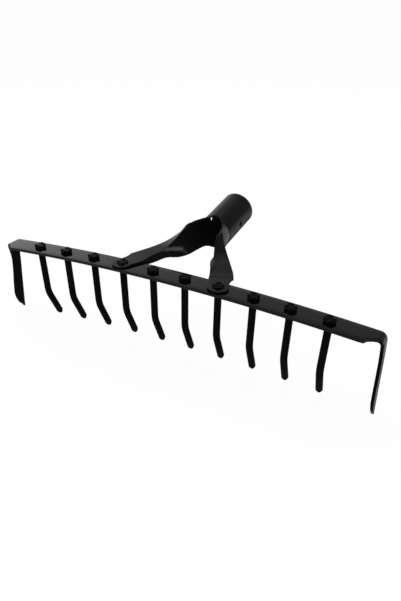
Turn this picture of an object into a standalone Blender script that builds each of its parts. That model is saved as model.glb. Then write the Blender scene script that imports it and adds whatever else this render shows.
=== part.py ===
"""Head of a garden rake: flat steel bar, ten riveted round tines, forked handle socket.

Units are metres.  X runs along the bar, +Y points to the handle, +Z is up.
The world's origin is the middle of the socket's mouth, where the handle goes in.
Pieces are built in the bar's frame, whose origin is on the bar's top face at mid-length.
"""
import math

import bmesh
import bpy
from mathutils import Matrix, Vector

BAR_FRAME = "bar_frame"

# Fits
GAP = 0.0003                    # clearance between pieces that touch on the real tool

# Bar: strip of flat steel, slightly arched, both ends bent down into flat tines
TINE_COUNT = 10
PITCH = 0.0305
BAR_WIDTH = 0.021
BAR_THICK = 0.0025
HALF_SPAN = (TINE_COUNT + 1) / 2 * PITCH
ARCH_DROP = 0.0069              # fall of the bar from its middle to HALF_SPAN
END_REACH = 0.01045             # outer face of the flat end tines past HALF_SPAN
BEND_RADIUS = 0.0048            # mid-plane radius of the end bends
BAR_BEVEL = 0.0004

# Outline of the strip from its notch to the tip of the end tine:
# distance along the strip, and y in half widths of the bar
NOTCH_X = HALF_SPAN - 0.00225
FRONT_EDGE = (
    (0.0, -0.96), (0.0018, -0.62), (0.0055, -0.36), (0.0145, -0.03), (0.0260, 0.16),
    (0.0400, 0.08), (0.0570, -0.11), (0.0655, -0.11), (0.0740, 0.20), (0.0805, 0.69),
)
BACK_EDGE = ((0.0, 1.0), (0.0145, 1.01), (0.0240, 1.08), (0.0500, 0.93), (0.0805, 0.76))
TIP_STEP = 0.003                # spacing of the strip's sections past the end bend
BAR_STEPS = 22
SHOULDER_STEPS = 3
END_BEND_STEPS = 7

# Round tines
TINE_RADIUS = 0.0030
TINE_STRAIGHT = 0.0451          # shoulder to the corner of the bend
TINE_TAIL = 0.0296              # corner of the bend to the tip
TINE_ANGLE = math.radians(23.2)
TINE_BEND = 0.026
TINE_BEND_STEPS = 5
TINE_COLLAR = 0.006             # straight top length of the rod, round the joint with its spigot
TIP_LENGTH = 0.0032
TIP_RADIUS = 0.0016
SPIGOT_RADIUS = 0.0024
SPIGOT_ROOT = 0.002             # length of the spigot inside the rod
HEAD_RADIUS = 0.0050
HEAD_FOOT = 0.0048
HEAD_TOP = 0.0030               # rim of every crown above the bar, with or without the fork under it
HEAD_DISH = 0.0007
HEAD_ROUND = 0.0004
HEAD_SIDES = 20
NOTCH_RADIUS = 0.0020
NOTCH_DEPTH = 0.0011
NOTCH_FLOOR = 0.0003            # least metal left under a notch
NOTCH_SIDES = 16
DISH_SHARE = 0.7                # deepest dish as a share of the notches' depth
CROWN_TURN = math.radians(25.0)
LEG_TINES = (3, 6)              # tines whose rivets also hold the fork

# Socket and fork: one pressed sheet, half of it described on the +X side
SHEET = 0.0015
BORE_RADIUS = 0.0142
TUBE_RADIUS = BORE_RADIUS + SHEET / 2
SOCKET_TILT = math.radians(9.84)
MOUTH_Y = 0.1293                # middle of the mouth from the middle of the bar
MOUTH_Z = 0.0166
CROSS_HOLE = 0.0025
CROSS_HOLE_BACK = 0.0261        # cross hole to mouth
CROTCH_TOP = 0.0440             # mouth to the upper crotch
CROTCH_LOW = 0.0495             # mouth to the lower crotch
TUBE_ROWS = (0.0, 0.08, 0.27, 0.45, 0.60, 0.75, 0.89)  # shares of the way to the upper crotch
HOLE_SIDES = 24

# First rows of the opening tube: metres past the crotch at the top, at the bottom and
# more at the side, then degrees opened
CROTCH_ROWS = ((0.0, 0.0, -0.0003, 0.0), (0.0008, 0.0003, 0.0008, 11.0), (0.0028, 0.0013, 0.0014, 22.0))

# Rows of the fork leg's mid-surface.  Each row starts with its share of the way from the side
# of the tube to the bar, and gives, in tube radii from that point, the lower edge, two
# points on the wall, the fold and the outer edge.
LEG_ROWS = (
    (0.083, (-0.61, 0.18, -0.85), (-0.22, 0.07, -0.42), (-0.10, 0.0, 0.16), (-0.29, 0.05, 0.71),
     (-0.52, 0.13, 0.95)),
    (0.247, (-0.81, 0.13, -0.75), (-0.44, 0.03, -0.36), (-0.29, -0.06, 0.22), (-0.42, -0.24, 0.84),
     (-0.41, 0.01, 0.97)),
    (0.390, (-1.00, 0.05, -0.67), (-0.73, 0.02, -0.29), (-0.63, 0.0, 0.19), (-0.63, -0.12, 0.74),
     (-0.36, 0.19, 0.58)),
    (0.533, (-1.01, 0.01, -0.53), (-0.81, 0.01, -0.28), (-0.73, 0.0, 0.04), (-0.71, -0.07, 0.41),
     (-0.16, 0.31, 0.25)),
    (0.679, (-0.95, -0.01, -0.25), (-0.84, -0.01, -0.19), (-0.77, 0.0, -0.07), (-0.73, -0.01, 0.12),
     (0.08, 0.36, 0.08)),
    (0.830, (-0.93, -0.01, -0.23), (-0.83, -0.01, -0.17), (-0.74, 0.0, -0.06), (-0.66, 0.01, 0.04),
     (0.31, 0.33, 0.04)),
    (0.918, (-0.94, -0.02, -0.21), (-0.89, -0.01, -0.13), (-0.84, 0.0, -0.02), (-0.78, 0.0, 0.06),
     (0.39, 0.30, 0.05)),
    (0.965, (-0.92, 0.0, -0.18), (-0.90, 0.0, -0.09), (-0.87, 0.0, 0.0), (-0.83, 0.0, 0.06),
     (0.37, 0.36, 0.06)),
)
# Flat tongue: neck from behind the bar to a disc round the rivet
NECK_INNER = (-0.01435, 0.0011)  # from the rivet in x, from the back of the bar in y
NECK_OUTER = (0.00425, 0.0069)
NECK_PULL = (0.0030, 0.0010)
TONGUE_RADIUS = 0.0088
TONGUE_SHIFT = -0.0006
DISC_OUTER = 30.0               # degrees round the disc where the neck's outer side meets it
DISC_INNER = 180.0
DISC_FRONT = 270.0
NECK_STEPS = 5
DISC_STEPS = 7
WALL_CELLS = 8
FLANGE_CELLS = 4
ROWS_BETWEEN = (0, 0, 1, 3, 3, 2, 2, 2, 1)  # rows added after each row from the crotch on
PALM_SPLIT = 0.25               # share of the tongue's width that the wall runs out into
WALL_FOOT = 0.2                 # part of that share at the foot of the wall


def clear_scene():
    for item in list(bpy.data.objects):
        bpy.data.objects.remove(item, do_unlink=True)
    for name in ("Object", "Cutters"):
        old = bpy.data.collections.get(name)
        if old:
            bpy.data.collections.remove(old)
    made = []
    for name in ("Object", "Cutters"):
        group = bpy.data.collections.new(name)
        bpy.context.scene.collection.children.link(group)
        made.append(group)
    return made


def add_object(name, data, group, matrix=Matrix()):
    """Object in the bar's frame: a child of the empty that places the bar under the socket."""
    obj = bpy.data.objects.new(name, data)
    group.objects.link(obj)
    obj.parent = bpy.data.objects[BAR_FRAME]
    obj.matrix_basis = matrix
    return obj


def material(name, colour, metallic, roughness):
    mat = bpy.data.materials.new(name)
    mat.use_nodes = True
    shader = mat.node_tree.nodes["Principled BSDF"]
    shader.inputs["Base Color"].default_value = (*colour, 1.0)
    shader.inputs["Metallic"].default_value = metallic
    shader.inputs["Roughness"].default_value = roughness
    return mat


def arch_z(x):
    return -ARCH_DROP * (x / HALF_SPAN) ** 2


def arch_angle(x):
    return math.atan(2 * ARCH_DROP * x / HALF_SPAN ** 2)


def on_curve(p0, p1, p2, p3, t):
    """Catmull-Rom curve from p1 to p2."""
    return 0.5 * (
        2 * p1 + (p2 - p0) * t + (2 * p0 - 5 * p1 + 4 * p2 - p3) * t * t
        + (3 * p1 - p0 - 3 * p2 + p3) * t ** 3)


def along_edge(table, where):
    """Smooth value at a distance along the strip, in metres."""
    last = len(table) - 1
    i = 0
    while i < last - 1 and where > table[i + 1][0]:
        i += 1
    t = min(max((where - table[i][0]) / (table[i + 1][0] - table[i][0]), 0.0), 1.0)
    values = [table[min(max(k, 0), last)][1] for k in range(i - 1, i + 3)]
    return on_curve(*values, t) * BAR_WIDTH / 2


def sheet_object(name, rows, group):
    mesh = bpy.data.meshes.new(name)
    across = len(rows[0])
    points = [tuple(p) for row in rows for p in row]
    faces = []
    for i in range(len(rows) - 1):
        for j in range(across - 1):
            a = i * across + j
            faces.append((a, a + across, a + across + 1, a + 1))
    mesh.from_pydata(points, [], faces)
    mesh.update()
    return add_object(name, mesh, group)


def evaluated_mesh(obj, name):
    graph = bpy.context.evaluated_depsgraph_get()
    mesh = bpy.data.meshes.new_from_object(obj.evaluated_get(graph), depsgraph=graph)
    mesh.name = name
    return mesh


def round_shading(obj, degrees):
    obj.data.shade_smooth()
    obj.data.set_sharp_from_angle(angle=math.radians(degrees))


def cylinder_cutter(name, radius, depth, matrix, group, sides=HOLE_SIDES):
    mesh = bpy.data.meshes.new(name)
    bm = bmesh.new()
    bmesh.ops.create_cone(
        bm, cap_ends=True, segments=sides, radius1=radius, radius2=radius, depth=depth)
    bm.to_mesh(mesh)
    bm.free()
    obj = add_object(name, mesh, group, matrix)
    obj.hide_render = True
    obj.display_type = "WIRE"
    return obj


def cut(obj, cutter, name):
    mod = obj.modifiers.new(name, "BOOLEAN")
    mod.operation = "DIFFERENCE"
    mod.solver = "EXACT"
    mod.object = cutter


def tine_x(index):
    return (index - (TINE_COUNT - 1) / 2) * PITCH


def tine_frame(index):
    """Frame on the bar's top face, Z along the rivet."""
    x = tine_x(index)
    return Matrix.Translation((x, 0.0, arch_z(x))) @ Matrix.Rotation(arch_angle(x), 4, "Y")


def bar_rows():
    """Mid-plane of one half of the strip, from the middle of the bar to the tip of its end tine."""
    rows = []
    mid = BAR_THICK / 2
    for i in range(BAR_STEPS):
        x = NOTCH_X * i / BAR_STEPS
        slope = arch_angle(x)
        px = x - mid * math.sin(slope)
        pz = arch_z(x) - mid * math.cos(slope)
        rows.append([(px, y, pz) for y in strip_across(-BAR_WIDTH / 2, BAR_WIDTH / 2)])
    slope = arch_angle(NOTCH_X)
    start = Vector((NOTCH_X - mid * math.sin(slope), 0.0, arch_z(NOTCH_X) - mid * math.cos(slope)))
    turn = math.pi / 2 - slope
    along = Vector((math.cos(slope), 0.0, -math.sin(slope)))
    down = Vector((-math.sin(slope), 0.0, -math.cos(slope)))
    reach = HALF_SPAN + END_REACH - mid - start.x
    flat = (reach - BEND_RADIUS * (1 - math.sin(slope))) / math.cos(slope)
    arc = BEND_RADIUS * turn
    length = FRONT_EDGE[-1][0]
    bend_end = flat + arc
    stops = [FRONT_EDGE[1][0] * k / SHOULDER_STEPS for k in range(SHOULDER_STEPS + 1)]
    stops.append(FRONT_EDGE[2][0])
    stops += [flat + arc * k / END_BEND_STEPS for k in range(END_BEND_STEPS + 1)]
    count = round((length - bend_end) / TIP_STEP)
    stops += [bend_end + (length - bend_end) * k / count for k in range(1, count + 1)]
    for p in stops:
        if p <= flat:
            q = start + along * p
        else:
            a = min((p - flat) / BEND_RADIUS, turn)
            q = start + along * (flat + BEND_RADIUS * math.sin(a))
            q += down * BEND_RADIUS * (1 - math.cos(a))
            q += Vector((0.0, 0.0, -1.0)) * max(p - bend_end, 0.0)
        front = along_edge(FRONT_EDGE, p)
        back = along_edge(BACK_EDGE, p)
        rows.append([(q.x, y, q.z) for y in strip_across(front, back)])
    return rows


def strip_across(front, back):
    return [front + (back - front) * k / 2 for k in range(3)]


def make_bar(group, cutters, paint):
    rows = bar_rows()
    obj = sheet_object("rake_bar", rows, group)
    mirror = obj.modifiers.new("Other half", "MIRROR")
    mirror.merge_threshold = 0.0001
    solid = obj.modifiers.new("Strip thickness", "SOLIDIFY")
    solid.thickness = BAR_THICK
    solid.offset = 0.0
    solid.use_even_offset = True
    bevel = obj.modifiers.new("Rolled edges", "BEVEL")
    bevel.width = BAR_BEVEL
    bevel.segments = 1
    bevel.limit_method = "ANGLE"
    bevel.angle_limit = math.radians(50)
    for i in range(TINE_COUNT):
        hole = cylinder_cutter(
            "cut_bar_%02d" % (i + 1), SPIGOT_RADIUS + GAP, 4 * BAR_THICK, tine_frame(i), cutters)
        cut(obj, hole, "Rivet hole %d" % (i + 1))
    obj.data.materials.append(paint)
    round_shading(obj, 35)
    return obj


def make_rod(name, top, frame, group):
    """Round rod from its shoulder down, bent back towards the handle, with a tapered tip."""
    lead = TINE_BEND * math.tan(TINE_ANGLE / 2)
    path = [(0.0, top, 1.0), (0.0, top - TINE_COLLAR, 1.0), (0.0, -TINE_STRAIGHT + lead, 1.0)]
    for k in range(1, TINE_BEND_STEPS + 1):
        a = TINE_ANGLE * k / TINE_BEND_STEPS
        path.append((
            TINE_BEND * (1 - math.cos(a)),
            -TINE_STRAIGHT + lead - TINE_BEND * math.sin(a), 1.0))
    y0, z0 = path[-1][0], path[-1][1]
    tail = TINE_TAIL - lead
    for part, size in ((tail - TIP_LENGTH, 1.0), (tail, TIP_RADIUS / TINE_RADIUS)):
        path.append((y0 + part * math.sin(TINE_ANGLE), z0 - part * math.cos(TINE_ANGLE), size))
    curve = bpy.data.curves.new(name + "_path", "CURVE")
    curve.dimensions = "3D"
    curve.bevel_depth = TINE_RADIUS
    curve.bevel_resolution = 2
    curve.use_fill_caps = True
    line = curve.splines.new("POLY")
    line.points.add(len(path) - 1)
    for point, (y, z, size) in zip(line.points, path):
        point.co = (0.0, y, z, 1.0)
        point.radius = size
    holder = add_object(name + "_path", curve, group, frame)
    bpy.context.view_layer.update()
    mesh = evaluated_mesh(holder, name)
    bpy.data.objects.remove(holder, do_unlink=True)
    bm = bmesh.new()
    bm.from_mesh(mesh)
    bmesh.ops.remove_doubles(bm, verts=bm.verts, dist=0.00001)
    bmesh.ops.recalc_face_normals(bm, faces=bm.faces)
    bm.to_mesh(mesh)
    bm.free()
    return add_object(name, mesh, group, frame)


def make_head(name, grip, frame, cutters):
    """Spigot and peened crown, turned about the rivet axis, then notched with two crossed grooves."""
    foot = GAP + grip
    low = -BAR_THICK - GAP - SPIGOT_ROOT
    rim = HEAD_TOP
    depth = min(NOTCH_DEPTH, rim - foot - NOTCH_FLOOR)
    dish = min(HEAD_DISH, DISH_SHARE * depth)
    profile = [
        (0.0, rim - dish), (HEAD_RADIUS / 2, rim - dish * 0.75),
        (HEAD_RADIUS - 2 * HEAD_ROUND, rim), (HEAD_RADIUS - HEAD_ROUND / 2, rim - HEAD_ROUND / 4),
        (HEAD_RADIUS, rim - HEAD_ROUND), (HEAD_FOOT, foot + HEAD_ROUND / 2),
        (HEAD_FOOT - HEAD_ROUND / 2, foot), (SPIGOT_RADIUS, foot), (SPIGOT_RADIUS, low), (0.0, low),
    ]
    mesh = bpy.data.meshes.new(name)
    edges = [(k, k + 1) for k in range(len(profile) - 1)]
    mesh.from_pydata([(r, 0.0, z) for r, z in profile], edges, [])
    obj = add_object(name, mesh, cutters, frame)
    screw = obj.modifiers.new("Turned", "SCREW")
    screw.axis = "Z"
    screw.steps = HEAD_SIDES
    screw.render_steps = HEAD_SIDES
    screw.use_merge_vertices = True
    screw.merge_threshold = 0.00001
    for turn in (0.0, math.pi / 2):
        place = (
            frame @ Matrix.Translation((0.0, 0.0, rim - depth + NOTCH_RADIUS))
            @ Matrix.Rotation(CROWN_TURN + math.pi / 4 + turn, 4, "Z")
            @ Matrix.Rotation(math.pi / 2, 4, "Y"))
        groove = cylinder_cutter(
            name + "_groove", NOTCH_RADIUS, 3 * HEAD_RADIUS, place, cutters, NOTCH_SIDES)
        cut(obj, groove, "Groove")
    return obj


def make_tine(index, group, cutters, paint):
    name = "tine_%02d" % (index + 1)
    frame = tine_frame(index)
    grip = SHEET + GAP if index in LEG_TINES else 0.0
    rod = make_rod(name, -BAR_THICK - GAP, frame, group)
    head = make_head(name + "_head", grip, frame, cutters)
    bpy.context.view_layer.update()
    whole = add_object(head.name + "_solid", evaluated_mesh(head, name + "_head_solid"), cutters, frame)
    whole.hide_render = True
    whole.display_type = "WIRE"
    doomed = [head] + [m.object for m in head.modifiers if m.type == "BOOLEAN"]
    for item in doomed:
        bpy.data.objects.remove(item, do_unlink=True)
    join = rod.modifiers.new("Spigot and crown", "BOOLEAN")
    join.operation = "UNION"
    join.solver = "EXACT"
    join.object = whole
    rod.data.materials.append(paint)
    round_shading(rod, 40)
    return rod


def tube_point(back, turn):
    """Mid-surface of the socket: distance down from the mouth, angle from the lowest line."""
    axis = Vector((0.0, math.cos(SOCKET_TILT), math.sin(SOCKET_TILT)))
    up = Vector((0.0, -math.sin(SOCKET_TILT), math.cos(SOCKET_TILT)))
    centre = Vector((0.0, MOUTH_Y, MOUTH_Z)) - axis * back
    side = Vector((1.0, 0.0, 0.0))
    return centre + side * TUBE_RADIUS * math.sin(turn) - up * TUBE_RADIUS * math.cos(turn)


def spread(points, count):
    """Even spacing along a smooth line through the given points."""
    dense = []
    last = len(points) - 1
    fine = 12
    for i in range(last):
        around = [points[min(max(k, 0), last)] for k in range(i - 1, i + 3)]
        dense += [on_curve(*around, k / fine) for k in range(fine)]
    dense.append(points[last])
    reach = [0.0]
    for a, b in zip(dense, dense[1:]):
        reach.append(reach[-1] + (b - a).length)
    out = []
    seg = 0
    for k in range(count + 1):
        want = reach[-1] * k / count
        while seg < len(dense) - 2 and reach[seg + 1] < want:
            seg += 1
        t = (want - reach[seg]) / (reach[seg + 1] - reach[seg])
        out.append(dense[seg].lerp(dense[seg + 1], min(max(t, 0.0), 1.0)))
    return out


def leg_row(share, offsets):
    """One row across a leg: wall from the lower edge to the fold, then flange to the outer edge."""
    side = tube_point(CROTCH_LOW, math.pi / 2)
    x = tine_x(LEG_TINES[1])
    base = side.lerp(Vector((x, BAR_WIDTH / 2, arch_z(x))), share)
    pts = [base + Vector(offset) * TUBE_RADIUS for offset in offsets]
    wall = spread(pts[:4], WALL_CELLS)
    flange = [pts[3].lerp(pts[4], k / FLANGE_CELLS) for k in range(FLANGE_CELLS + 1)]
    return wall + flange[1:]


def crotch_row(past_top, past_low, side_more, opened):
    """Row of the tube where it starts to open, at the top and at the bottom."""
    top = CROTCH_TOP + past_top
    low = CROTCH_LOW + past_low
    cells = WALL_CELLS + FLANGE_CELLS
    line = []
    for k in range(cells + 1):
        f = k / cells
        turn = math.radians(opened + (180.0 - 2 * opened) * f)
        line.append(tube_point(low + (top - low) * f + side_more * math.sin(math.pi * f), turn))
    return line


def tongue_row(inner, outer, split):
    """Flat row on the bar from an inner to an outer point of the tongue's outline."""
    line = []
    for k in range(WALL_CELLS + FLANGE_CELLS + 1):
        part = split * k / WALL_CELLS
        if k > WALL_CELLS:
            part = split + (1.0 - split) * (k - WALL_CELLS) / FLANGE_CELLS
        p = inner.lerp(outer, part)
        line.append(Vector((p.x, p.y, arch_z(p.x) + GAP + SHEET / 2)))
    return line


def tongue_rows():
    """Neck between a straight and a curved side, then the disc round the rivet."""
    x = tine_x(LEG_TINES[1])
    back = BAR_WIDTH / 2
    first_in = Vector((x + NECK_INNER[0], back + NECK_INNER[1]))
    first_out = Vector((x + NECK_OUTER[0], back + NECK_OUTER[1]))
    pull = Vector((x + NECK_PULL[0], back + NECK_PULL[1]))

    def on_disc(degrees):
        turn = math.radians(degrees)
        return Vector((x, TONGUE_SHIFT)) + TONGUE_RADIUS * Vector((math.cos(turn), math.sin(turn)))

    rows = []
    for k in range(NECK_STEPS):
        t = k / NECK_STEPS
        outer = first_out.lerp(pull, t).lerp(pull.lerp(on_disc(DISC_OUTER), t), t)
        split = PALM_SPLIT * min(WALL_FOOT + t, 1.0)
        rows.append(tongue_row(first_in.lerp(on_disc(DISC_INNER), t), outer, split))
    for k in range(DISC_STEPS):
        t = k / DISC_STEPS
        inner = on_disc(DISC_INNER + (DISC_FRONT - DISC_INNER) * t)
        outer = on_disc(DISC_OUTER + (DISC_FRONT - 360.0 - DISC_OUTER) * t)
        rows.append(tongue_row(inner, outer, PALM_SPLIT))
    return rows


def refined(rows, extra):
    """Rows with more on smooth lines between them: how many after each row."""
    out = []
    last = len(rows) - 1
    for i, row in enumerate(rows):
        out.append(row)
        if i == last or i >= len(extra):
            continue
        for k in range(1, extra[i] + 1):
            around = [rows[min(max(j, 0), last)] for j in range(i - 1, i + 3)]
            out.append([on_curve(*four, k / (extra[i] + 1)) for four in zip(*around)])
    return out


def make_fork(group, cutters, paint):
    cells = WALL_CELLS + FLANGE_CELLS
    tube = []
    for share in TUBE_ROWS:
        tube.append([tube_point(share * CROTCH_TOP, math.pi * k / cells) for k in range(cells + 1)])
    leg = [crotch_row(*row) for row in CROTCH_ROWS]
    leg += [leg_row(row[0], row[1:]) for row in LEG_ROWS]
    leg += tongue_rows()
    rows = tube + refined(leg, ROWS_BETWEEN)
    obj = sheet_object("socket_fork", rows, group)
    mirror = obj.modifiers.new("Left half", "MIRROR")
    mirror.merge_threshold = 0.0001
    solid = obj.modifiers.new("Sheet thickness", "SOLIDIFY")
    solid.thickness = SHEET
    solid.offset = 0.0
    solid.use_even_offset = True
    for index in LEG_TINES:
        hole = cylinder_cutter(
            "cut_palm_%02d" % (index + 1), SPIGOT_RADIUS + GAP, 6 * SHEET, tine_frame(index), cutters)
        cut(obj, hole, "Rivet hole")
    axis = Matrix.Rotation(math.pi / 2, 4, "Y")
    centre = tube_point(CROSS_HOLE_BACK, 0.0).lerp(tube_point(CROSS_HOLE_BACK, math.pi), 0.5)
    cross = cylinder_cutter(
        "cut_cross", CROSS_HOLE, 4 * TUBE_RADIUS, Matrix.Translation(centre) @ axis, cutters)
    cut(obj, cross, "Cross hole")
    obj.data.materials.append(paint)
    round_shading(obj, 40)
    return obj


def main():
    group, cutters = clear_scene()
    base = bpy.data.objects.new(BAR_FRAME, None)
    base.location = (0.0, -MOUTH_Y, -MOUTH_Z)
    group.objects.link(base)
    bar_paint = material("bar_paint", (0.022, 0.022, 0.024), 0.0, 0.25)
    tine_paint = material("tine_paint", (0.018, 0.018, 0.020), 0.0, 0.28)
    fork_paint = material("fork_paint", (0.024, 0.025, 0.026), 0.0, 0.24)
    make_bar(group, cutters, bar_paint)
    make_fork(group, cutters, fork_paint)
    for index in range(TINE_COUNT):
        make_tine(index, group, cutters, tine_paint)
    bpy.context.view_layer.update()


main()
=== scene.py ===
"""Looks of the garden rake head: black enamel on flat bar, riveted tines and pressed fork."""
import math

import bmesh
import bpy
from mathutils import Matrix, Vector
from mathutils.kdtree import KDTree


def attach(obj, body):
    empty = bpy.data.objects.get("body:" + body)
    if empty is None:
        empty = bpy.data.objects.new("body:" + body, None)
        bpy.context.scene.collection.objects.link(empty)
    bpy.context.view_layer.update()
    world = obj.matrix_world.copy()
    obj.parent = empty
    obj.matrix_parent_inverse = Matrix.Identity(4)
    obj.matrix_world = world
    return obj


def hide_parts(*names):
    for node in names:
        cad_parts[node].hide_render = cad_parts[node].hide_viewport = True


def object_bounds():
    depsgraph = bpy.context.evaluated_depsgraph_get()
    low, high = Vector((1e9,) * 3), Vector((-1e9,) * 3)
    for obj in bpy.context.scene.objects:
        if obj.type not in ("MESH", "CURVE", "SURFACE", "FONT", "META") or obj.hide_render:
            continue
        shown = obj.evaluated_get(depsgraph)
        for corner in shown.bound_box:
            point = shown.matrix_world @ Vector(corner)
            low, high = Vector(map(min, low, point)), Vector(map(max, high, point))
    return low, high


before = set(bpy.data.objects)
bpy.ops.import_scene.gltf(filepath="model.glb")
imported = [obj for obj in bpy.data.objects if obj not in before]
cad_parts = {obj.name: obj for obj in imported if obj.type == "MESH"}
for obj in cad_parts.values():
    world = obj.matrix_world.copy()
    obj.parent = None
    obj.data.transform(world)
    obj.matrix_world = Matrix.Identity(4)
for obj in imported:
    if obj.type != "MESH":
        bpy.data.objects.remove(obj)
cad_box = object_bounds()

# Camera: position and the directions of the picture's right, down and depth
CAMERA = Vector((0.239048, -0.515237, 0.208237))
RIGHT = Vector((0.87784887, 0.47891379, 0.00478990))
DOWN = Vector((0.23371080, -0.41961947, -0.87709678))
AHEAD = Vector((-0.41804381, 0.77107787, -0.48028980))
FOCAL_PX = 616.437
PICTURE_W = 401
SENSOR = 36.0                   # millimetres
NEAR_CLIP = 0.01
FAR_CLIP = 60.0

# Studio
FLOOR_HALF = 14.0
FLOOR_LIT = (0.80, 0.80, 0.80, 1.0)     # colour that light bounces off
FLOOR_SHOWN = (0.10, 0.10, 0.10, 1.0)   # share of light and shadow that shows on the glow
FLOOR_GLOW_COLOUR = (1.0, 1.0, 1.0, 1.0)
FLOOR_GLOW = 0.93
SURROUND_COLOUR = (0.97, 1.0, 0.977, 1.0)
SURROUND_WAY = (-0.85, 0.40, 0.34)      # towards its bright side
SURROUND_RISE = (0.30, 0.90, 0.35, 0.74)  # two places along that way and the levels there
SURROUND_PEAK = (0.88, 0.98, 0.0, 0.8)  # the same, added round its brightest place
LAMP_TARGET = (0.0, -0.1, 0.0)

# Layers of the enamel: a noise is its scale, detail and roughness, and a range is the
# noise values between which a layer comes in
CLOUD_NOISE = (38.0, 4.0, 0.55)
CLOUD_TONE_RANGE = (0.35, 0.70)
CLOUD_GAIN = 1.35
CLOUD_HAZE = 0.0004
CLOUD_ROUGH_RANGE = (0.30, 0.72)
CLOUD_SMOOTHER = 0.05
CLOUD_ROUGHER = 0.08
STREAK_NOISE = (210.0, 3.0, 0.6)
STREAK_RANGE = (0.45, 0.75)
STREAK_ROUGHER = 0.06
DUST_NOISE = (2600.0, 1.0, 0.4)
DUST_RANGE = (0.70, 0.78)
DUST_COLOUR = (0.12, 0.12, 0.115)
DUST_SHARE = 0.05
CHIP_NOISE = (540.0, 4.0, 0.65)
CHIP_RANGE = (0.52, 0.62)
WORN_RANGE = (0.45, 0.9)                # of the edge attribute
WORN_COLOUR = (0.075, 0.074, 0.070)
WORN_SHARE = 0.5
WORN_ROUGHER = 0.12
FULL_WEAR_BEND = math.radians(40)       # bend of an edge that wears most
# Painted highlight on the left leg's ledge: how metallic its colour is made
HIGHLIGHT_METALLIC = 0.85
UNDER_RANGE = (-0.40, 0.15)             # upward part of the normal, from rough to glossy
PEEL_NOISE = (620.0, 2.0, 0.45)
PEEL_STRENGTH = 0.05
PEEL_HEIGHT = 0.0004

# Sizes are metres in the bar's frame: origin on the bar's top face at mid-length, +Y to the
# handle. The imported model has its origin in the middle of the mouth.
GAP = 0.0003                    # between pieces that touch on the real object
MOUTH_Y = 0.1293                # middle of the mouth from the middle of the bar
MOUTH_Z = 0.0166
BAR_PLACE = Matrix.Translation((0.0, -MOUTH_Y, -MOUTH_Z))
MERGE = 0.00001                 # points nearer than this are one
MIRROR_MERGE = 0.0001

# Bar
TINE_COUNT = 10
PITCH = 0.0305
BAR_WIDTH = 0.021
BAR_THICK = 0.0025
HALF_SPAN = (TINE_COUNT + 1) / 2 * PITCH
ARCH_DROP = 0.0069              # fall of the bar from its middle to HALF_SPAN
END_REACH = 0.01045             # outer face of the flat end tines past HALF_SPAN
BEND_RADIUS = 0.0048            # mid-plane radius of the end bends
BAR_BEVEL = 0.00045
BAR_BEVEL_STEPS = 3
BAR_CREASE = 50.0               # degrees
BAR_STEPS = 44
SHOULDER_STEPS = 14
END_BEND_STEPS = 18
END_TINE_STEPS = 60
STRIP_CELLS = 4
HOLE_SIDES = 32

# Outline of the strip from its notch to the tip of the end tine:
# distance along the strip, and y in half widths of the bar
NOTCH_X = HALF_SPAN - 0.00225
FRONT_EDGE = (
    (0.0, -0.96), (0.0018, -0.62), (0.0055, -0.36), (0.0145, -0.03), (0.0260, 0.16),
    (0.0400, 0.08), (0.0570, -0.11), (0.0655, -0.11), (0.0740, 0.20), (0.0805, 0.69),
)
BACK_EDGE = ((0.0, 1.0), (0.0145, 1.01), (0.0240, 1.08), (0.0500, 0.93), (0.0805, 0.76))

# Round tines
TINE_RADIUS = 0.0030
TINE_SIDES = 12                 # bevel resolution of the rod
TINE_STRAIGHT = 0.0451          # shoulder to the corner of the bend
TINE_TAIL = 0.0296              # corner of the bend to the tip
TINE_ANGLE = math.radians(23.2)
TINE_BEND = 0.026
TINE_BEND_STEPS = 14
TINE_COLLAR = 0.006             # straight top length of the rod, round the joint with its spigot
TINE_CREASE = 38.0              # degrees
TIP_LENGTH = 0.0032
TIP_RADIUS = 0.0016
TIP_ROUND = 0.0004              # length of the tip's rounded end
TIP_WIDER = 0.05                # where that starts and ends, wider and narrower in rod radii
TIP_NARROWER = 0.12
SPIGOT_RADIUS = 0.0024
SPIGOT_ROOT = 0.002             # length of the spigot inside the rod
LEG_TINES = (3, 6)              # tines whose rivets also hold the fork

# Peened crowns
HEAD_RADIUS = 0.0050
HEAD_FOOT = 0.0048
HEAD_TOP = 0.0034               # rim of every crown above the bar, with or without the fork under it
HEAD_DISH = 0.0005
HEAD_ROUND = 0.0004
HEAD_ROUND_STEPS = 4
HEAD_SIDES = 48
DISH_PROFILE = ((0.0, 1.0), (0.25, 0.95), (0.5, 0.75), (0.7, 0.35))  # shares of radius and depth
DISH_SHARE = 0.7                # deepest dish as a share of the notches' depth
NOTCH_RADIUS = 0.0034
NOTCH_DEPTH = 0.0010
NOTCH_FLOOR = 0.0003            # least metal left under a notch
NOTCH_SIDES = 40
CROWN_TURN = math.radians(25.0)
ARRIS = 0.00016
ARRIS_STEPS = 2
ARRIS_CREASE = 35.0             # degrees

# Socket and fork: one pressed sheet, half of it described on the +X side
SHEET = 0.0015
BORE_RADIUS = 0.0142
TUBE_RADIUS = BORE_RADIUS + SHEET / 2
SOCKET_TILT = math.radians(9.84)
CROSS_HOLE = 0.0025
CROSS_HOLE_BACK = 0.0261        # cross hole to mouth
CROSS_HOLE_SIDES = 40
CROTCH_TOP = 0.0440             # mouth to the upper crotch
CROTCH_LOW = 0.0495             # mouth to the lower crotch
TUBE_ROWS = 24
TUBE_SHARE = 0.93               # of the way to the upper crotch, down to the last plain row
FORK_BEVEL = 0.00035
FORK_BEVEL_STEPS = 2
FORK_CREASE = 45.0              # degrees
CURVE_STEPS = 24                # steps between two given points when a line is measured

# First rows of the opening tube: metres past the crotch at the top, at the bottom and
# more at the side, then degrees opened
CROTCH_ROWS = (
    (0.0, 0.0, -0.0003, 0.0), (0.0008, 0.0003, 0.0008, 11.0), (0.0028, 0.0013, 0.0014, 22.0),
)

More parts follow.
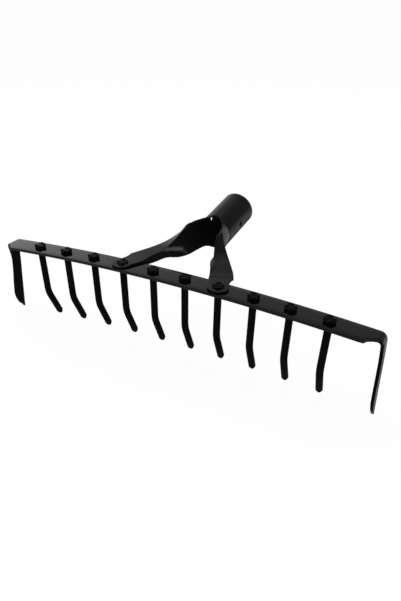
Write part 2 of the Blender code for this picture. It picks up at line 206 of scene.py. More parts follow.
# Rows of the fork leg's mid-surface. Each row starts with its share of the way from the side
# of the tube to the bar, and gives, in tube radii from that point, the lower edge, two
# points on the wall, the fold and the outer edge.
LEG_ROWS = (
    (0.083, (-0.61, 0.18, -0.85), (-0.22, 0.07, -0.42), (-0.10, 0.0, 0.16), (-0.29, 0.05, 0.71),
     (-0.52, 0.13, 0.95)),
    (0.247, (-0.81, 0.13, -0.75), (-0.44, 0.03, -0.36), (-0.29, -0.06, 0.22), (-0.42, -0.24, 0.84),
     (-0.41, 0.01, 0.97)),
    (0.390, (-1.00, 0.05, -0.67), (-0.73, 0.02, -0.29), (-0.63, 0.0, 0.19), (-0.63, -0.12, 0.74),
     (-0.36, 0.19, 0.58)),
    (0.533, (-1.01, 0.01, -0.53), (-0.81, 0.01, -0.28), (-0.73, 0.0, 0.04), (-0.71, -0.07, 0.41),
     (-0.16, 0.31, 0.25)),
    (0.679, (-0.95, -0.01, -0.25), (-0.84, -0.01, -0.19), (-0.77, 0.0, -0.07), (-0.73, -0.01, 0.12),
     (0.08, 0.36, 0.08)),
    (0.830, (-0.93, -0.01, -0.23), (-0.83, -0.01, -0.17), (-0.74, 0.0, -0.06), (-0.66, 0.01, 0.04),
     (0.31, 0.33, 0.026)),
    (0.918, (-0.94, -0.02, -0.21), (-0.89, -0.01, -0.13), (-0.84, 0.0, -0.02), (-0.78, 0.0, 0.057),
     (0.39, 0.30, 0.037)),
    (0.965, (-0.92, 0.0, -0.18), (-0.90, 0.0, -0.09), (-0.87, 0.0, 0.0), (-0.83, 0.0, 0.072),
     (0.37, 0.36, 0.049)),
    (0.987, (-0.91, 0.0, -0.16), (-0.90, 0.0, -0.09), (-0.88, 0.0, -0.01), (-0.86, 0.0, 0.082),
     (0.32, 0.43, 0.057)),
)
ROWS_BETWEEN = (1, 1, 3, 6, 6, 5, 5, 5, 3, 2, 2, 1, 1, 1, 1, 1)  # added after each row
WALL_CELLS = 24
FLANGE_CELLS = 12

# Flat tongue: neck from behind the bar to a disc round the rivet
NECK_INNER = (-0.01435, 0.0002)  # from the rivet in x, from the back of the bar in y
NECK_OUTER = (0.00425, 0.0069)
NECK_PULL = (0.0030, 0.0010)
TONGUE_RADIUS = 0.0088
TONGUE_SHIFT = -0.0006
DISC_OUTER = 30.0               # degrees round the disc where the neck's outer side meets it
DISC_INNER = 180.0
DISC_FRONT = 270.0
NECK_STEPS = 5
DISC_STEPS = 14

# Ledge pressed into the wall: shares of the leg's length, and how far up the wall it lies
LEDGE_LINE = ((0.40, 0.0), (0.43, 0.30), (0.46, 0.37), (0.533, 0.526), (0.606, 0.76), (0.679, 1.05))
LEDGE_START = (0.395, 0.435)    # shares of the leg's length over which it starts
LEDGE_END = (0.64, 0.80)
LEDGE_HALF = 0.07               # half height of its slope, as a share of the wall
LEDGE_DEPTH = 0.0002
LEDGE_WAY = (-0.915, -0.40, 0.0)  # on the +X side, towards the other leg
HIGHLIGHT_HALF = 0.06                # half height of the painted highlight along the ledge's crest, as a share of the wall
HIGHLIGHT_BLEND = 12                 # points of the wall that a point of the mesh takes its painted highlight from
HIGHLIGHT_NEAR = 0.0001              # added to their distances, so that none outweighs all others

# Upward part of a face's normal, which picks between copies of a paint: painted light and shade by
# which way a face points
UP_FACING = 0.45                # more than this has the paint of the top
EDGE_FACING = -0.2              # more than this is an edge of the bar and not its underside


def link(obj):
    bpy.context.scene.collection.objects.link(obj)
    return obj


def make_camera():
    data = bpy.data.cameras.new("camera")
    data.sensor_fit = "HORIZONTAL"
    data.sensor_width = SENSOR
    data.lens = FOCAL_PX * SENSOR / PICTURE_W
    data.clip_start = NEAR_CLIP
    data.clip_end = FAR_CLIP
    camera = link(bpy.data.objects.new("camera", data))
    turn = Matrix((RIGHT, -DOWN, -AHEAD)).transposed().to_4x4()
    camera.matrix_world = Matrix.Translation(CAMERA) @ turn
    bpy.context.scene.camera = camera


class Nodes:
    """Short way to write a node material."""

    def __init__(self, tree):
        self.tree = tree
        tree.nodes.clear()

    def add(self, kind, **values):
        node = self.tree.nodes.new(kind)
        for key, value in values.items():
            if key in node.inputs:
                self.put(node.inputs[key], value)
            else:
                setattr(node, key, value)
        return node

    def put(self, socket, value):
        if isinstance(value, bpy.types.NodeSocket):
            self.tree.links.new(value, socket)
        else:
            socket.default_value = value

    def math(self, operation, a, b):
        node = self.add("ShaderNodeMath", operation=operation)
        self.put(node.inputs[0], a)
        self.put(node.inputs[1], b)
        return node.outputs[0]

    def noise(self, where, scale, detail, rough):
        node = self.add("ShaderNodeTexNoise", Vector=where, Scale=scale, Detail=detail, Roughness=rough)
        return node.outputs["Fac"]

    def spread(self, value, low, high, to_low=0.0, to_high=1.0):
        node = self.tree.nodes.new("ShaderNodeMapRange")
        node.clamp = True
        self.put(node.inputs["Value"], value)
        for key, number in (
                ("From Min", low), ("From Max", high), ("To Min", to_low), ("To Max", to_high)):
            self.put(node.inputs[key], number)
        return node.outputs[0]

    def mix(self, factor, a, b):
        node = self.tree.nodes.new("ShaderNodeMix")
        node.data_type = "RGBA"
        self.put(node.inputs[0], factor)
        for socket, value in ((node.inputs[6], a), (node.inputs[7], b)):
            if not isinstance(value, bpy.types.NodeSocket):
                value = (*value, 1.0)
            self.put(socket, value)
        return node.outputs[2]


def seen_directly(kit):
    """One where a ray comes from the camera, a mirror or through glass."""
    path = kit.add("ShaderNodeLightPath")
    seen = kit.math("MAXIMUM", path.outputs["Is Camera Ray"], path.outputs["Is Glossy Ray"])
    return kit.math("MAXIMUM", seen, path.outputs["Is Transmission Ray"])


def make_floor(level):
    """Pale floor that lights the head from below and shows white, with a faint shadow."""
    mesh = bpy.data.meshes.new("floor")
    corners = [(x * FLOOR_HALF, y * FLOOR_HALF, 0) for x, y in ((-1, -1), (1, -1), (1, 1), (-1, 1))]
    mesh.from_pydata(corners, [], [(0, 1, 2, 3)])
    floor = link(bpy.data.objects.new("floor", mesh))
    floor.location = (0.0, 0.0, level)
    mat = bpy.data.materials.new("floor")
    mat.use_nodes = True
    kit = Nodes(mat.node_tree)
    lit = kit.add("ShaderNodeBsdfDiffuse", Color=FLOOR_LIT)
    thin = kit.add("ShaderNodeBsdfDiffuse", Color=FLOOR_SHOWN)
    glow = kit.add("ShaderNodeEmission", Color=FLOOR_GLOW_COLOUR, Strength=FLOOR_GLOW)
    shown = kit.add("ShaderNodeAddShader")
    kit.put(shown.inputs[0], thin.outputs[0])
    kit.put(shown.inputs[1], glow.outputs[0])
    both = kit.add("ShaderNodeMixShader")
    kit.put(both.inputs[0], seen_directly(kit))
    kit.put(both.inputs[1], lit.outputs[0])
    kit.put(both.inputs[2], shown.outputs[0])
    out = kit.add("ShaderNodeOutputMaterial")
    kit.put(out.inputs["Surface"], both.outputs[0])
    mesh.materials.append(mat)


def make_world():
    """Soft studio surround, brighter towards the left and back."""
    world = bpy.data.worlds.new("studio")
    world.use_nodes = True
    kit = Nodes(world.node_tree)
    way = kit.add("ShaderNodeTexCoord").outputs["Generated"]
    side = kit.add("ShaderNodeVectorMath", operation="DOT_PRODUCT")
    kit.put(side.inputs[0], way)
    kit.put(side.inputs[1], SURROUND_WAY)
    level = kit.spread(side.outputs["Value"], *SURROUND_RISE)
    level = kit.math("ADD", level, kit.spread(side.outputs["Value"], *SURROUND_PEAK))
    shade = kit.add("ShaderNodeBackground", Color=SURROUND_COLOUR, Strength=level)
    out = kit.add("ShaderNodeOutputWorld")
    kit.put(out.inputs["Surface"], shade.outputs[0])
    bpy.context.scene.world = world


def make_lamp(name, place, size, power):
    """Square lamp aimed at the head."""
    data = bpy.data.lights.new(name, "AREA")
    data.shape = "RECTANGLE"
    data.size = size
    data.size_y = size
    data.energy = power
    lamp = link(bpy.data.objects.new(name, data))
    lamp.location = place
    lamp.rotation_euler = (Vector(LAMP_TARGET) - Vector(place)).to_track_quat("-Z", "Y").to_euler()


def enamel(name, colour, roughness, gloss, highlight_colour=None, under=0.0):
    """Black enamel: orange peel, smudges, fine dust, and paint worn thin along the edges.

    A colour given for the ledge is a painted highlight, partly metallic, along the crest of the pressed
    ledge.
    under is how much rougher the underside is, away from the spray.
    """
    mat = bpy.data.materials.new(name)
    mat.use_nodes = True
    kit = Nodes(mat.node_tree)
    where = kit.add("ShaderNodeTexCoord").outputs["Object"]
    edge = kit.add("ShaderNodeAttribute", attribute_name="edge").outputs["Fac"]
    cloud = kit.noise(where, *CLOUD_NOISE)
    streak = kit.noise(where, *STREAK_NOISE)
    dust = kit.spread(kit.noise(where, *DUST_NOISE), *DUST_RANGE)
    chips = kit.spread(kit.noise(where, *CHIP_NOISE), *CHIP_RANGE)
    hazy = [c * CLOUD_GAIN + CLOUD_HAZE for c in colour]
    tone = kit.mix(kit.spread(cloud, *CLOUD_TONE_RANGE), colour, hazy)
    tone = kit.mix(kit.math("MULTIPLY", dust, DUST_SHARE), tone, DUST_COLOUR)
    worn = kit.math("MULTIPLY", kit.spread(edge, *WORN_RANGE), chips)
    tone = kit.mix(kit.math("MULTIPLY", worn, WORN_SHARE), tone, WORN_COLOUR)
    metal = 0.0
    # Painted highlight: a pale, partly metallic colour along the ledge's crest
    if highlight_colour:
        painted_highlight = kit.add("ShaderNodeAttribute", attribute_name="ledge").outputs["Fac"]
        tone = kit.mix(painted_highlight, tone, highlight_colour)
        metal = kit.math("MULTIPLY", painted_highlight, HIGHLIGHT_METALLIC)
    rough = kit.spread(
        cloud, *CLOUD_ROUGH_RANGE, roughness - CLOUD_SMOOTHER, roughness + CLOUD_ROUGHER)
    rough = kit.math("ADD", rough, kit.spread(streak, *STREAK_RANGE, 0.0, STREAK_ROUGHER))
    rough = kit.math("ADD", rough, kit.math("MULTIPLY", worn, WORN_ROUGHER))
    if under:
        normal = kit.add("ShaderNodeNewGeometry").outputs["Normal"]
        up = kit.add("ShaderNodeSeparateXYZ", Vector=normal).outputs["Z"]
        rough = kit.math("ADD", rough, kit.spread(up, *UNDER_RANGE, under, 0.0))
    peel = kit.noise(where, *PEEL_NOISE)
    bump = kit.add("ShaderNodeBump", Strength=PEEL_STRENGTH, Distance=PEEL_HEIGHT, Height=peel)
    shader = kit.add(
        "ShaderNodeBsdfPrincipled", Metallic=metal, Roughness=rough, Normal=bump.outputs[0])
    kit.put(shader.inputs["Base Color"], tone)
    kit.put(shader.inputs["Specular IOR Level"], gloss)
    out = kit.add("ShaderNodeOutputMaterial")
    kit.put(out.inputs["Surface"], shader.outputs[0])
    return mat


def arch_z(x):
    return -ARCH_DROP * (x / HALF_SPAN) ** 2


def arch_angle(x):
    return math.atan(2 * ARCH_DROP * x / HALF_SPAN ** 2)


def tine_x(index):
    return (index - (TINE_COUNT - 1) / 2) * PITCH


def tine_frame(index):
    """Frame on the bar's top face, Z along the rivet."""
    x = tine_x(index)
    return Matrix.Translation((x, 0.0, arch_z(x))) @ Matrix.Rotation(arch_angle(x), 4, "Y")


def on_curve(p0, p1, p2, p3, t):
    """Catmull-Rom curve from p1 to p2."""
    return 0.5 * (
        2 * p1 + (p2 - p0) * t + (2 * p0 - 5 * p1 + 4 * p2 - p3) * t * t
        + (3 * p1 - p0 - 3 * p2 + p3) * t ** 3)


def four_around(items, i):
    """The items before, at and after a stretch of a smooth line; its ends count twice."""
    last = len(items) - 1
    return [items[min(max(k, 0), last)] for k in range(i - 1, i + 3)]


def along_edge(table, where):
    """Smooth value at a distance along the strip, in metres."""
    last = len(table) - 1
    i = 0
    while i < last - 1 and where > table[i + 1][0]:
        i += 1
    t = min(max((where - table[i][0]) / (table[i + 1][0] - table[i][0]), 0.0), 1.0)
    values = [entry[1] for entry in four_around(table, i)]
    return on_curve(*values, t) * BAR_WIDTH / 2


def sheet_object(name, rows, cut_row=math.inf, cut_cells=0, fold_row=math.inf):
    """Sheet through rows of points; past the cut row its first cells are left out.

    From the fold row on, the cells that are never left out have the second paint.
    """
    mesh = bpy.data.meshes.new(name)
    across = len(rows[0])
    points = [tuple(p) for row in rows for p in row]
    faces = []
    second = []
    for i in range(len(rows) - 1):
        first = cut_cells if i >= cut_row else 0
        for j in range(first, across - 1):
            a = i * across + j
            faces.append((a, a + across, a + across + 1, a + 1))
            second.append(int(i >= fold_row and j >= cut_cells))
    mesh.from_pydata(points, [], faces)
    mesh.polygons.foreach_set("material_index", second)
    bm = bmesh.new()
    bm.from_mesh(mesh)
    bmesh.ops.delete(bm, geom=[v for v in bm.verts if not v.link_faces], context="VERTS")
    bm.to_mesh(mesh)
    bm.free()
    return link(bpy.data.objects.new(name, mesh))


def thicken_half(obj, thickness):
    """Mirror half a sheet, and give it its thickness."""
    mirror = obj.modifiers.new("Other half", "MIRROR")
    mirror.merge_threshold = MIRROR_MERGE
    solid = obj.modifiers.new("Thickness", "SOLIDIFY")
    solid.thickness = thickness
    solid.offset = 0.0
    solid.use_even_offset = True
    return solid


def round_edges(obj, width, steps, crease):
    bevel = obj.modifiers.new("Rounded edges", "BEVEL")
    bevel.width = width
    bevel.segments = steps
    bevel.limit_method = "ANGLE"
    bevel.angle_limit = math.radians(crease)


def settled(obj):
    """The object's mesh with its modifiers applied."""
    bpy.context.view_layer.update()
    graph = bpy.context.evaluated_depsgraph_get()
    return bpy.data.meshes.new_from_object(obj.evaluated_get(graph), depsgraph=graph)


def cylinder(name, radius, depth, matrix, sides):
    mesh = bpy.data.meshes.new(name)
    bm = bmesh.new()
    bmesh.ops.create_cone(
        bm, cap_ends=True, segments=sides, radius1=radius, radius2=radius, depth=depth)
    bm.to_mesh(mesh)
    bm.free()
    obj = link(bpy.data.objects.new(name, mesh))
    obj.matrix_world = matrix
    return obj


def combine(obj, other, operation):
    mod = obj.modifiers.new(other.name, "BOOLEAN")
    mod.operation = operation
    mod.solver = "EXACT"
    mod.object = other


def rivet_holes(name, indices, depth):
    """Cutters for the holes that the spigots of these tines pass through."""
    return [
        cylinder("%s_%02d" % (name, i + 1), SPIGOT_RADIUS + GAP, depth, tine_frame(i), HOLE_SIDES)
        for i in indices]


def drop(objects):
    for item in objects:
        bpy.data.objects.remove(item, do_unlink=True)


def mark_edges(mesh):
    """Attribute that is one on rounded edges and nought on flat faces, for the wear."""
    bm = bmesh.new()
    bm.from_mesh(mesh)
    layer = bm.verts.layers.float.new("edge")
    for vert in bm.verts:
        bend = 0.0
        for side in vert.link_edges:
            if len(side.link_faces) == 2:
                bend = max(bend, side.calc_face_angle(0.0))
        vert[layer] = min(bend / FULL_WEAR_BEND, 1.0)
    bm.to_mesh(mesh)
    bm.free()


def finish_piece(obj, node, paints, pick, sharp):
    """Apply the modifiers, shade, mark worn edges, and stand for the node.

    pick(centre, normal) says which of the paints a face has, or is None where faces know.
    """
    mesh = settled(obj)
    obj.modifiers.clear()
    obj.data = mesh
    mesh.transform(obj.matrix_world)
    obj.matrix_world = Matrix()
    mesh.transform(BAR_PLACE)
    mark_edges(mesh)
    mesh.shade_smooth()
    mesh.set_sharp_from_angle(angle=math.radians(sharp))
    if pick:
        mesh.materials.clear()
        for paint in paints:
            mesh.materials.append(paint)
        for face in mesh.polygons:
            face.material_index = pick(face.center, face.normal)
    mesh.update()
    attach(obj, "root")
    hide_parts(node)


def strip_across(front, back):
    return [front + (back - front) * k / STRIP_CELLS for k in range(STRIP_CELLS + 1)]


def bar_rows():
    """Mid-plane of one half of the strip, from the middle of the bar to the tip of its end tine."""
    rows = []
    mid = BAR_THICK / 2
    for i in range(BAR_STEPS):
        x = NOTCH_X * i / BAR_STEPS
        slope = arch_angle(x)
        px = x - mid * math.sin(slope)
        pz = arch_z(x) - mid * math.cos(slope)
        rows.append([(px, y, pz) for y in strip_across(-BAR_WIDTH / 2, BAR_WIDTH / 2)])
    slope = arch_angle(NOTCH_X)
    start = Vector((NOTCH_X - mid * math.sin(slope), 0.0, arch_z(NOTCH_X) - mid * math.cos(slope)))
    turn = math.pi / 2 - slope
    along = Vector((math.cos(slope), 0.0, -math.sin(slope)))
    down = Vector((-math.sin(slope), 0.0, -math.cos(slope)))
    reach = HALF_SPAN + END_REACH - mid - start.x
    flat = (reach - BEND_RADIUS * (1 - math.sin(slope))) / math.cos(slope)
    arc = BEND_RADIUS * turn
    bend_end = flat + arc
    rest = FRONT_EDGE[-1][0] - bend_end
    stops = [flat * k / SHOULDER_STEPS for k in range(SHOULDER_STEPS)]
    stops += [flat + arc * k / END_BEND_STEPS for k in range(END_BEND_STEPS + 1)]
    stops += [bend_end + rest * k / END_TINE_STEPS for k in range(1, END_TINE_STEPS + 1)]
    for p in stops:
        if p <= flat:
            q = start + along * p
        else:
            a = min((p - flat) / BEND_RADIUS, turn)
            q = start + along * (flat + BEND_RADIUS * math.sin(a))
            q += down * BEND_RADIUS * (1 - math.cos(a))
            q += Vector((0.0, 0.0, -1.0)) * max(p - bend_end, 0.0)
        front = along_edge(FRONT_EDGE, p)
        back = along_edge(BACK_EDGE, p)
        rows.append([(q.x, y, q.z) for y in strip_across(front, back)])
    return rows


def make_bar(paints):
    """The paints are for the end tines and underside, the top, and the edges of the bar: copies of one
    enamel with gloss and tone set by which way a face points, painted light and shade.
    """
    obj = sheet_object("bar_look", bar_rows())
    thicken_half(obj, BAR_THICK)
    round_edges(obj, BAR_BEVEL, BAR_BEVEL_STEPS, BAR_CREASE)
    holes = rivet_holes("bar_hole", range(TINE_COUNT), 4 * BAR_THICK)
    for hole in holes:
        combine(obj, hole, "DIFFERENCE")
    weight = obj.modifiers.new("Flat faces stay flat", "WEIGHTED_NORMAL")
    weight.keep_sharp = True
    low = BAR_PLACE.translation.z - ARCH_DROP - 2 * BAR_THICK

    def pick(centre, normal):
        if normal.z > UP_FACING:
            return 1
        return 2 if centre.z > low and normal.z > EDGE_FACING else 0

    finish_piece(obj, "rake_bar", paints, pick, BAR_CREASE)
    drop(holes)


def make_rod(top):
    """Round rod from its shoulder down, bent back towards the handle, with a tapered tip."""
    lead = TINE_BEND * math.tan(TINE_ANGLE / 2)
    path = [(0.0, top, 1.0), (0.0, top - TINE_COLLAR, 1.0), (0.0, -TINE_STRAIGHT + lead, 1.0)]
    for k in range(1, TINE_BEND_STEPS + 1):
        a = TINE_ANGLE * k / TINE_BEND_STEPS
        path.append((
            TINE_BEND * (1 - math.cos(a)),
            -TINE_STRAIGHT + lead - TINE_BEND * math.sin(a), 1.0))
    y0, z0 = path[-1][0], path[-1][1]
    tail = TINE_TAIL - lead
    taper = TIP_RADIUS / TINE_RADIUS
    for part, size in (
            (tail - TIP_LENGTH, 1.0), (tail - TIP_ROUND, taper + TIP_WIDER),
            (tail, taper - TIP_NARROWER)):
        path.append((y0 + part * math.sin(TINE_ANGLE), z0 - part * math.cos(TINE_ANGLE), size))
    curve = bpy.data.curves.new("rod", "CURVE")
    curve.dimensions = "3D"
    curve.bevel_depth = TINE_RADIUS
    curve.bevel_resolution = TINE_SIDES
    curve.use_fill_caps = True
    line = curve.splines.new("POLY")
    line.points.add(len(path) - 1)
    for point, (y, z, size) in zip(line.points, path):
        point.co = (0.0, y, z, 1.0)
        point.radius = size
    holder = link(bpy.data.objects.new("rod", curve))
    mesh = settled(holder)
    drop([holder])
    bm = bmesh.new()
    bm.from_mesh(mesh)
    bmesh.ops.remove_doubles(bm, verts=bm.verts, dist=MERGE)
    bmesh.ops.recalc_face_normals(bm, faces=bm.faces)
    bm.to_mesh(mesh)
    bm.free()
    return link(bpy.data.objects.new("rod", mesh))


def head_profile(foot, dish):
    """Half outline of crown and spigot, from the middle of the dish to the spigot's end."""
    low = -BAR_THICK - GAP - SPIGOT_ROOT
    profile = [(HEAD_RADIUS * out, HEAD_TOP - dish * deep) for out, deep in DISH_PROFILE]
    profile.append((HEAD_RADIUS - 2 * HEAD_ROUND, HEAD_TOP))
    for k in range(1, HEAD_ROUND_STEPS + 1):
        a = math.pi / 2 * k / HEAD_ROUND_STEPS
        profile.append((
            HEAD_RADIUS - HEAD_ROUND * (1 - math.sin(a)), HEAD_TOP - HEAD_ROUND * (1 - math.cos(a))))
    profile += [
        (HEAD_FOOT, foot + HEAD_ROUND / 2), (HEAD_FOOT - HEAD_ROUND / 2, foot),
        (SPIGOT_RADIUS, foot), (SPIGOT_RADIUS, low), (0.0, low),
    ]
    return profile


def make_head(grip):
    """Spigot and peened crown, turned about the rivet axis, then notched with two crossed grooves."""
    foot = GAP + grip
    depth = min(NOTCH_DEPTH, HEAD_TOP - foot - NOTCH_FLOOR)
    profile = head_profile(foot, min(HEAD_DISH, DISH_SHARE * depth))
    mesh = bpy.data.meshes.new("head")
    edges = [(k, k + 1) for k in range(len(profile) - 1)]
    mesh.from_pydata([(r, 0.0, z) for r, z in profile], edges, [])
    obj = link(bpy.data.objects.new("head", mesh))
    screw = obj.modifiers.new("Turned", "SCREW")
    screw.axis = "Z"
    screw.steps = HEAD_SIDES
    screw.render_steps = HEAD_SIDES
    screw.use_merge_vertices = True
    screw.merge_threshold = MERGE
    grooves = []
    for turn in (0.0, math.pi / 2):
        place = (
            Matrix.Translation((0.0, 0.0, HEAD_TOP - depth + NOTCH_RADIUS))
            @ Matrix.Rotation(CROWN_TURN + math.pi / 4 + turn, 4, "Z")
            @ Matrix.Rotation(math.pi / 2, 4, "Y"))
        grooves.append(cylinder("groove", NOTCH_RADIUS, 3 * HEAD_RADIUS, place, NOTCH_SIDES))
        combine(obj, grooves[-1], "DIFFERENCE")
    whole = link(bpy.data.objects.new("head_solid", settled(obj)))
    drop([obj] + grooves)
    round_edges(whole, ARRIS, ARRIS_STEPS, ARRIS_CREASE)
    solid = link(bpy.data.objects.new("head_done", settled(whole)))
    drop([whole])
    return solid


def make_tines(paints):
    """One solid for the plain rivets and one for the two that also hold the fork."""
    # Up-facing faces, the crown tops, take a copy of the enamel with a darker tone: painted shade
    def pick(centre, normal):
        return int(normal.z > UP_FACING)

    plain = [i for i in range(TINE_COUNT) if i not in LEG_TINES]
    for grip, indices in ((0.0, plain), (SHEET + GAP, LEG_TINES)):
        rod = make_rod(-BAR_THICK - GAP)
        head = make_head(grip)
        combine(rod, head, "UNION")
        mesh = settled(rod)
        drop([rod, head])
        for index in indices:
            name = "tine_%02d" % (index + 1)
            obj = link(bpy.data.objects.new(name + "_look", mesh.copy()))
            obj.matrix_world = tine_frame(index)
            bpy.context.view_layer.update()
            finish_piece(obj, name, paints, pick, TINE_CREASE)


def tube_point(back, turn):
    """Mid-surface of the socket: distance down from the mouth, angle from the lowest line."""
    axis = Vector((0.0, math.cos(SOCKET_TILT), math.sin(SOCKET_TILT)))
    up = Vector((0.0, -math.sin(SOCKET_TILT), math.cos(SOCKET_TILT)))
    centre = Vector((0.0, MOUTH_Y, MOUTH_Z)) - axis * back
    side = Vector((1.0, 0.0, 0.0))
    return centre + side * TUBE_RADIUS * math.sin(turn) - up * TUBE_RADIUS * math.cos(turn)


def tube_rows():
    """Half circles down the plain part of the tube."""
    cells = WALL_CELLS + FLANGE_CELLS
    rows = []
    for i in range(TUBE_ROWS):
        back = TUBE_SHARE * CROTCH_TOP * i / (TUBE_ROWS - 1)
        rows.append([tube_point(back, math.pi * k / cells) for k in range(cells + 1)])
    return rows


def crotch_row(past_top, past_low, side_more, opened):
    """Row of the tube where it starts to open, at the top and at the bottom."""
    top = CROTCH_TOP + past_top
    low = CROTCH_LOW + past_low
    cells = WALL_CELLS + FLANGE_CELLS
    line = []
    for k in range(cells + 1):
        f = k / cells
        turn = math.radians(opened + (180.0 - 2 * opened) * f)
        line.append(tube_point(low + (top - low) * f + side_more * math.sin(math.pi * f), turn))
    return line


def spread_points(points, count):
    """Even spacing along a smooth line through the given points."""
    dense = []
    for i in range(len(points) - 1):
        dense += [on_curve(*four_around(points, i), k / CURVE_STEPS) for k in range(CURVE_STEPS)]
    dense.append(points[-1])
    reach = [0.0]
    for a, b in zip(dense, dense[1:]):
        reach.append(reach[-1] + (b - a).length)
    out = []
    seg = 0
    for k in range(count + 1):
        want = reach[-1] * k / count
        while seg < len(dense) - 2 and reach[seg + 1] < want:
            seg += 1
        t = (want - reach[seg]) / (reach[seg + 1] - reach[seg])
        out.append(dense[seg].lerp(dense[seg + 1], min(max(t, 0.0), 1.0)))
    return out


def leg_row(share, offsets):
    """One row across a leg: wall from the lower edge to the fold, then flange to the outer edge."""
    side = tube_point(CROTCH_LOW, math.pi / 2)
    x = tine_x(LEG_TINES[1])
    base = side.lerp(Vector((x, BAR_WIDTH / 2, arch_z(x))), share)
    pts = [base + Vector(offset) * TUBE_RADIUS for offset in offsets]
    wall = spread_points(pts[:4], WALL_CELLS)
    flange = [pts[3].lerp(pts[4], k / FLANGE_CELLS) for k in range(FLANGE_CELLS + 1)]
    return wall + flange[1:]


def tongue_row(inner, outer):
    """Flat row on the bar from an inner to an outer point of the tongue's outline: no wall here."""
    line = []
    for k in range(-WALL_CELLS, FLANGE_CELLS + 1):
        p = inner.lerp(outer, max(k, 0) / FLANGE_CELLS)
        line.append(Vector((p.x, p.y, arch_z(p.x) + GAP + SHEET / 2)))
    return line


def tongue_rows():
    """Neck between a straight and a curved side, then the disc round the rivet."""
    x = tine_x(LEG_TINES[1])
    back = BAR_WIDTH / 2
    first_in = Vector((x + NECK_INNER[0], back + NECK_INNER[1]))
    first_out = Vector((x + NECK_OUTER[0], back + NECK_OUTER[1]))
    pull = Vector((x + NECK_PULL[0], back + NECK_PULL[1]))

    def on_disc(degrees):
        turn = math.radians(degrees)
        return Vector((x, TONGUE_SHIFT)) + TONGUE_RADIUS * Vector((math.cos(turn), math.sin(turn)))

    rows = []
    for k in range(NECK_STEPS):
        t = k / NECK_STEPS
        outer = first_out.lerp(pull, t).lerp(pull.lerp(on_disc(DISC_OUTER), t), t)
        rows.append(tongue_row(first_in.lerp(on_disc(DISC_INNER), t), outer))
    for k in range(DISC_STEPS):
        t = k / DISC_STEPS
        inner = on_disc(DISC_INNER + (DISC_FRONT - DISC_INNER) * t)
        outer = on_disc(DISC_OUTER + (DISC_FRONT - 360.0 - DISC_OUTER) * t)
        rows.append(tongue_row(inner, outer))
    return rows


def refined(rows):
    """Rows with more on smooth lines between them, as ROWS_BETWEEN says."""
    out = []
    for i, row in enumerate(rows):
        out.append(row)
        if i == len(rows) - 1 or i >= len(ROWS_BETWEEN):
            continue
        count = ROWS_BETWEEN[i] + 1
        for k in range(1, count):
            out.append([on_curve(*four, k / count) for four in zip(*four_around(rows, i))])
    return out


def refined_shares():
    """Share of the leg's length at each refined row, from the crotch to the last leg row."""
    shares = [0.0] * len(CROTCH_ROWS) + [row[0] for row in LEG_ROWS]
    out = []
    for i, (here, there) in enumerate(zip(shares, shares[1:])):
        count = ROWS_BETWEEN[i] + 1
        out += [here + (there - here) * k / count for k in range(count)]
    return out


def soft_step(low, high, value):
    t = min(max((value - low) / (high - low), 0.0), 1.0)
    return t * t * (3.0 - 2.0 * t)


def ledge_line(share):
    """How far up the wall the pressed-in ledge lies, at a share of the leg's length."""
    for (a, low), (b, high) in zip(LEDGE_LINE, LEDGE_LINE[1:]):
        if share <= b:
            return low + (high - low) * (share - a) / (b - a)
    return LEDGE_LINE[-1][1]


def press_ledge(rows):
    """Push the lower part of the wall in towards the other leg, below a line along it.

    Gives back the points, each with the strength of the highlight painted along the ledge's crest
    there, from 0 to 1.
    """
    highlight_weights = []
    for row, share in zip(rows, refined_shares()):
        amount = soft_step(*LEDGE_START, share) * (1.0 - soft_step(*LEDGE_END, share))
        line = ledge_line(share)
        for k in range(WALL_CELLS + 1):
            height = k / WALL_CELLS
            part = amount * (1.0 - soft_step(line - LEDGE_HALF, line + LEDGE_HALF, height))
            row[k] = row[k] + Vector(LEDGE_WAY) * LEDGE_DEPTH * part
            near = 1.0 - soft_step(0.0, HIGHLIGHT_HALF, abs(height - line))
            highlight_weights.append((row[k], amount * near))
        highlight_weights += [(point, 0.0) for point in row[WALL_CELLS + 1:]]
    return highlight_weights


def mark_painted_highlight(mesh, highlight_weights):
    """Attribute that is one along the crest of the left leg's ledge, where a highlight is painted."""
    tree = KDTree(len(highlight_weights))
    for i, (point, _) in enumerate(highlight_weights):
        tree.insert(BAR_PLACE @ point, i)
    tree.balance()
    layer = mesh.attributes.new("ledge", "FLOAT", "POINT")
    for vert, slot in zip(mesh.vertices, layer.data):
        # The painted highlight goes on the left leg only
        if vert.co.x > 0.0:
            continue
        near = tree.find_n(Vector((-vert.co.x, vert.co.y, vert.co.z)), HIGHLIGHT_BLEND)
        shares = [(1.0 / (reach + HIGHLIGHT_NEAR), highlight_weights[i][1]) for _, i, reach in near]
        slot.value = sum(a * b for a, b in shares) / sum(a for a, _ in shares)


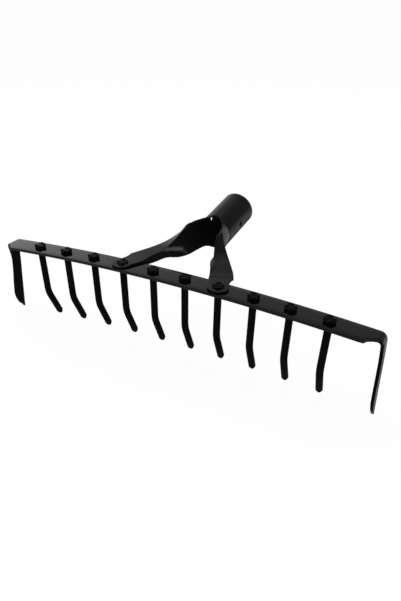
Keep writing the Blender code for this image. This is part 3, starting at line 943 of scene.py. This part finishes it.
def make_fork(paints):
    """The paints are for the inner side of tube and walls and the cut edges, and for the rest; the
    first is a far less glossy copy of the enamel, painted shade that keeps the channel dark.
    """
    tube = tube_rows()
    crotch = [crotch_row(*row) for row in CROTCH_ROWS]
    leg = [leg_row(row[0], row[1:]) for row in LEG_ROWS]
    open_rows = len(crotch) + len(leg) - 1
    wall_end = len(tube) + open_rows + sum(ROWS_BETWEEN[:open_rows])
    fold_row = len(tube) + len(crotch) + sum(ROWS_BETWEEN[:len(crotch)])
    rows = refined(crotch + leg + tongue_rows())
    highlight_weights = press_ledge(rows)
    obj = sheet_object("fork_look", tube + rows, wall_end, WALL_CELLS, fold_row)
    for paint in paints:
        obj.data.materials.append(paint)
    solid = thicken_half(obj, SHEET)
    solid.material_offset = 1
    solid.material_offset_rim = -1
    round_edges(obj, FORK_BEVEL, FORK_BEVEL_STEPS, FORK_CREASE)
    cutters = rivet_holes("palm_hole", LEG_TINES, 6 * SHEET)
    centre = tube_point(CROSS_HOLE_BACK, 0.0).lerp(tube_point(CROSS_HOLE_BACK, math.pi), 0.5)
    cutters.append(cylinder(
        "cross_hole", CROSS_HOLE, 4 * TUBE_RADIUS,
        Matrix.Translation(centre) @ Matrix.Rotation(math.pi / 2, 4, "Y"), CROSS_HOLE_SIDES))
    for cutter in cutters:
        combine(obj, cutter, "DIFFERENCE")
    finish_piece(obj, "socket_fork", paints, None, FORK_CREASE)
    mark_painted_highlight(obj.data, highlight_weights)
    drop(cutters)


make_camera()
make_floor(cad_box[0].z)
make_world()
make_lamp("top", (-0.3, 0.2, 1.6), size=1.4, power=6.0)
make_lamp("front", (0.9, -1.2, 1.0), size=0.6, power=3.0)

# Copies of one enamel: glossy on the top, less on the edges, least on the end tines and underside;
# painted light and shade
make_bar([
    enamel("bar_ends", (0.0030, 0.0030, 0.0032), roughness=0.30, gloss=0.015),
    enamel("bar_top", (0.0025, 0.0025, 0.0026), roughness=0.09, gloss=0.15),
    enamel("bar_edge", (0.006, 0.006, 0.0062), roughness=0.25, gloss=0.10),
])
# The inside paint is a far less glossy copy of the outside one: painted shade inside the channel
make_fork([
    enamel(
        "fork_inside", (0.0095, 0.0098, 0.0093), roughness=0.36, gloss=0.006,
        # pale, partly metallic painted highlight on the left leg's ledge
        highlight_colour=(0.56, 0.59, 0.58)),
    enamel("fork_outside", (0.0075, 0.0080, 0.0077), roughness=0.22, gloss=0.08, under=0.45),
])
# Rods keep a dull enamel; the crown tops take a copy of it with a darker tone, painted shade
make_tines([
    enamel("tine_enamel", (0.0060, 0.0060, 0.0058), roughness=0.45, gloss=0.003),
    enamel("crown_top", (0.0025, 0.0025, 0.0026), roughness=0.26, gloss=0.018),
])

scene = bpy.context.scene
scene.view_settings.view_transform = "Standard"
